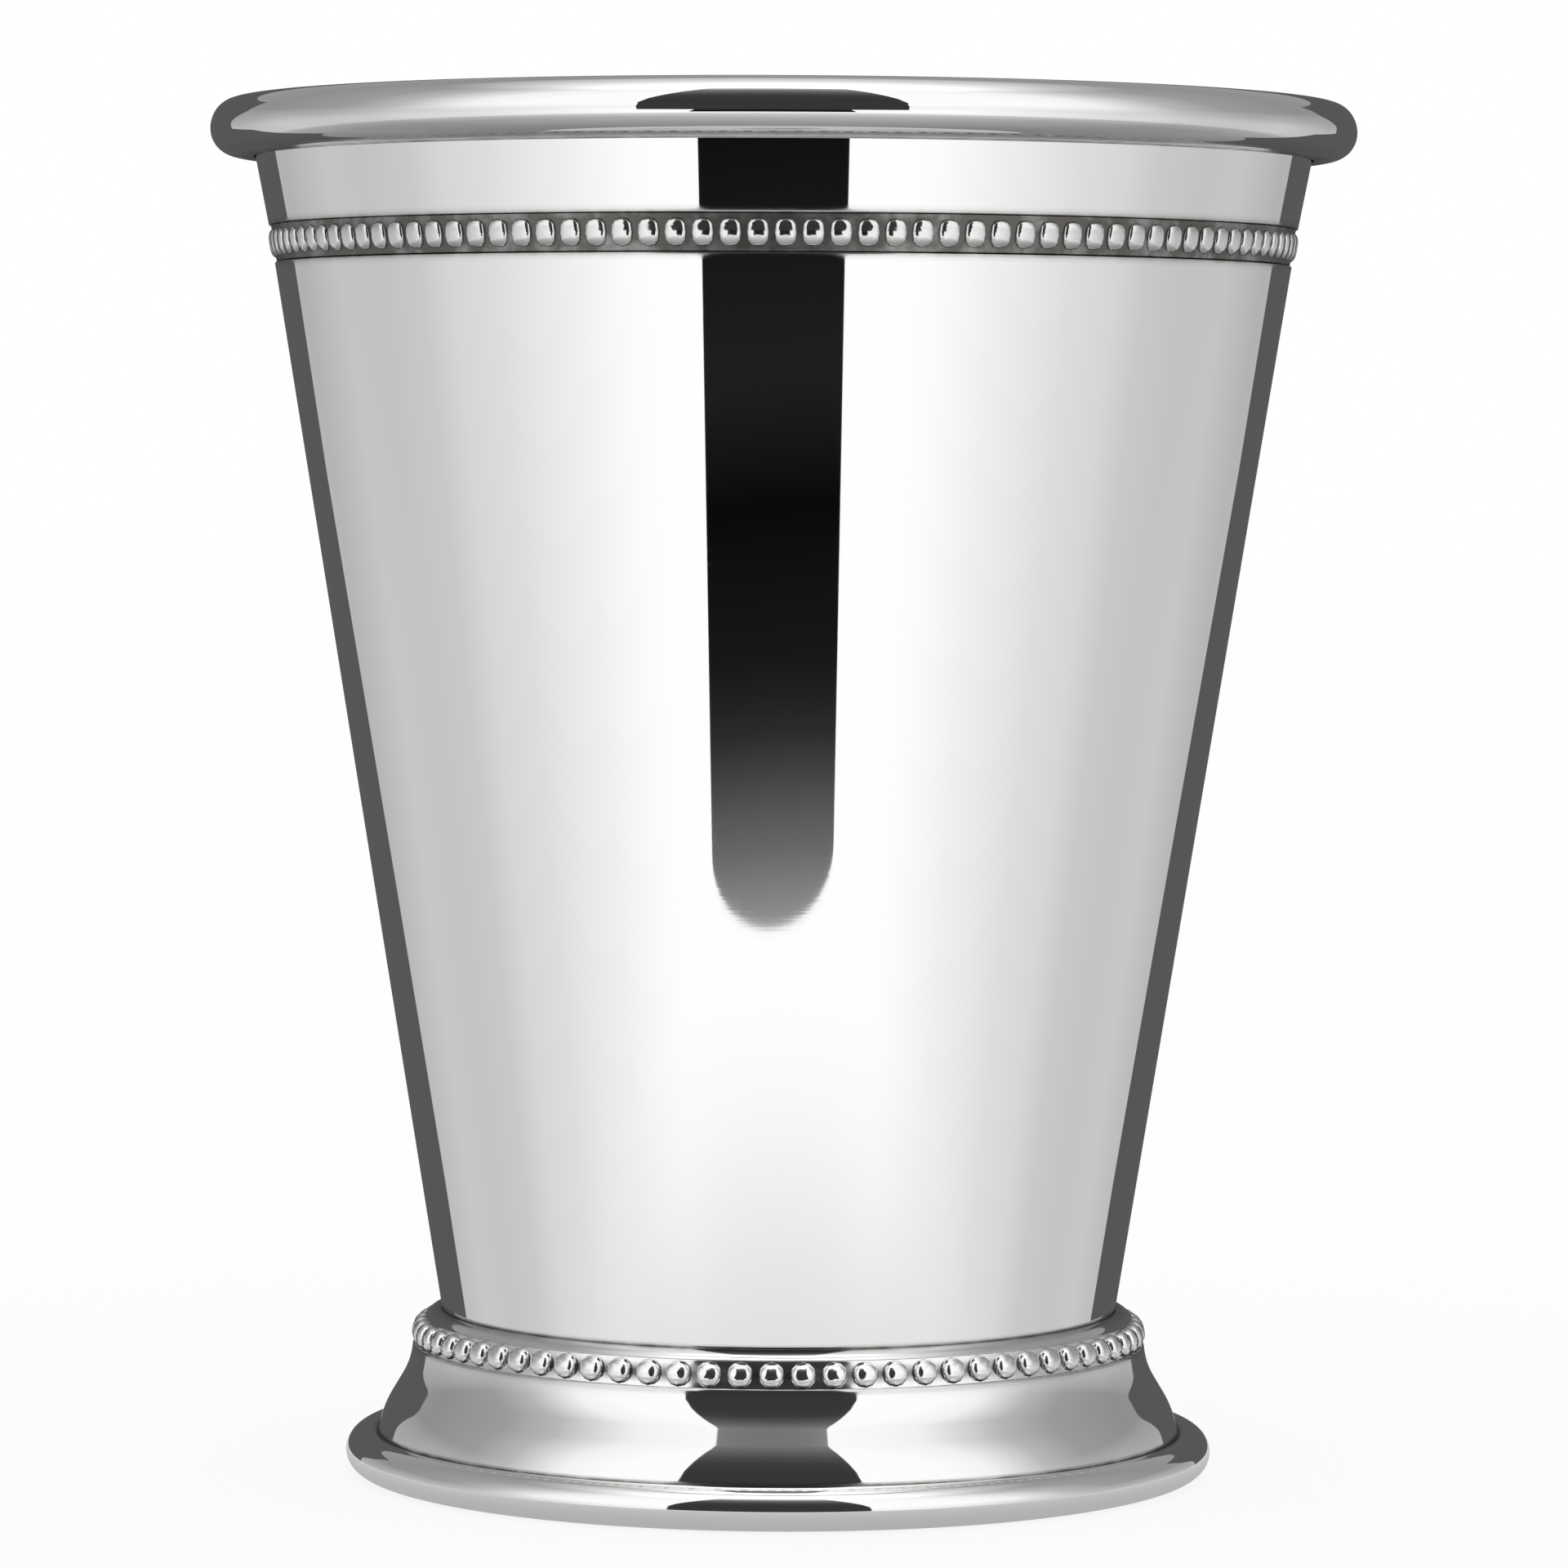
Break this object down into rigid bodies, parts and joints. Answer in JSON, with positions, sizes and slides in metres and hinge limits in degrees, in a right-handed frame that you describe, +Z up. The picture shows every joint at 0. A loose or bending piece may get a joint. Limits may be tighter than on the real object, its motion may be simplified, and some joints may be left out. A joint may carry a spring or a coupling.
{
  "type": "julep cup",
  "caption": "Footed julep cup: a tapered, mirror-polished metal tumbler with a rolled rim, beaded bands and a flared pedestal foot, for iced drinks.",
  "frame": {"origin": "centre of the foot's rest plane, on the cup's axis", "axes": "+Z up along the cup's axis, the pictured front looks along -Y"},
  "size_m": [0.0894, 0.0894, 0.1069],
  "materials": {
    "cup_metal": "mirror polished nickel-silver plate",
    "foot_metal": "mirror polished nickel-silver plate",
    "bead_metal": "polished, darker in the gaps",
    "wire_metal": "drawn wire",
    "solder": "dull soft solder"
  },
  "bodies": {
    "root": {"cup_body": "cup_metal", "rim_wire": "wire_metal", "rim_bead_band": "bead_metal", "foot_shell": "foot_metal", "foot_bead_band": "bead_metal", "foot_solder_ring": "solder"}
  },
  "joints": []
}
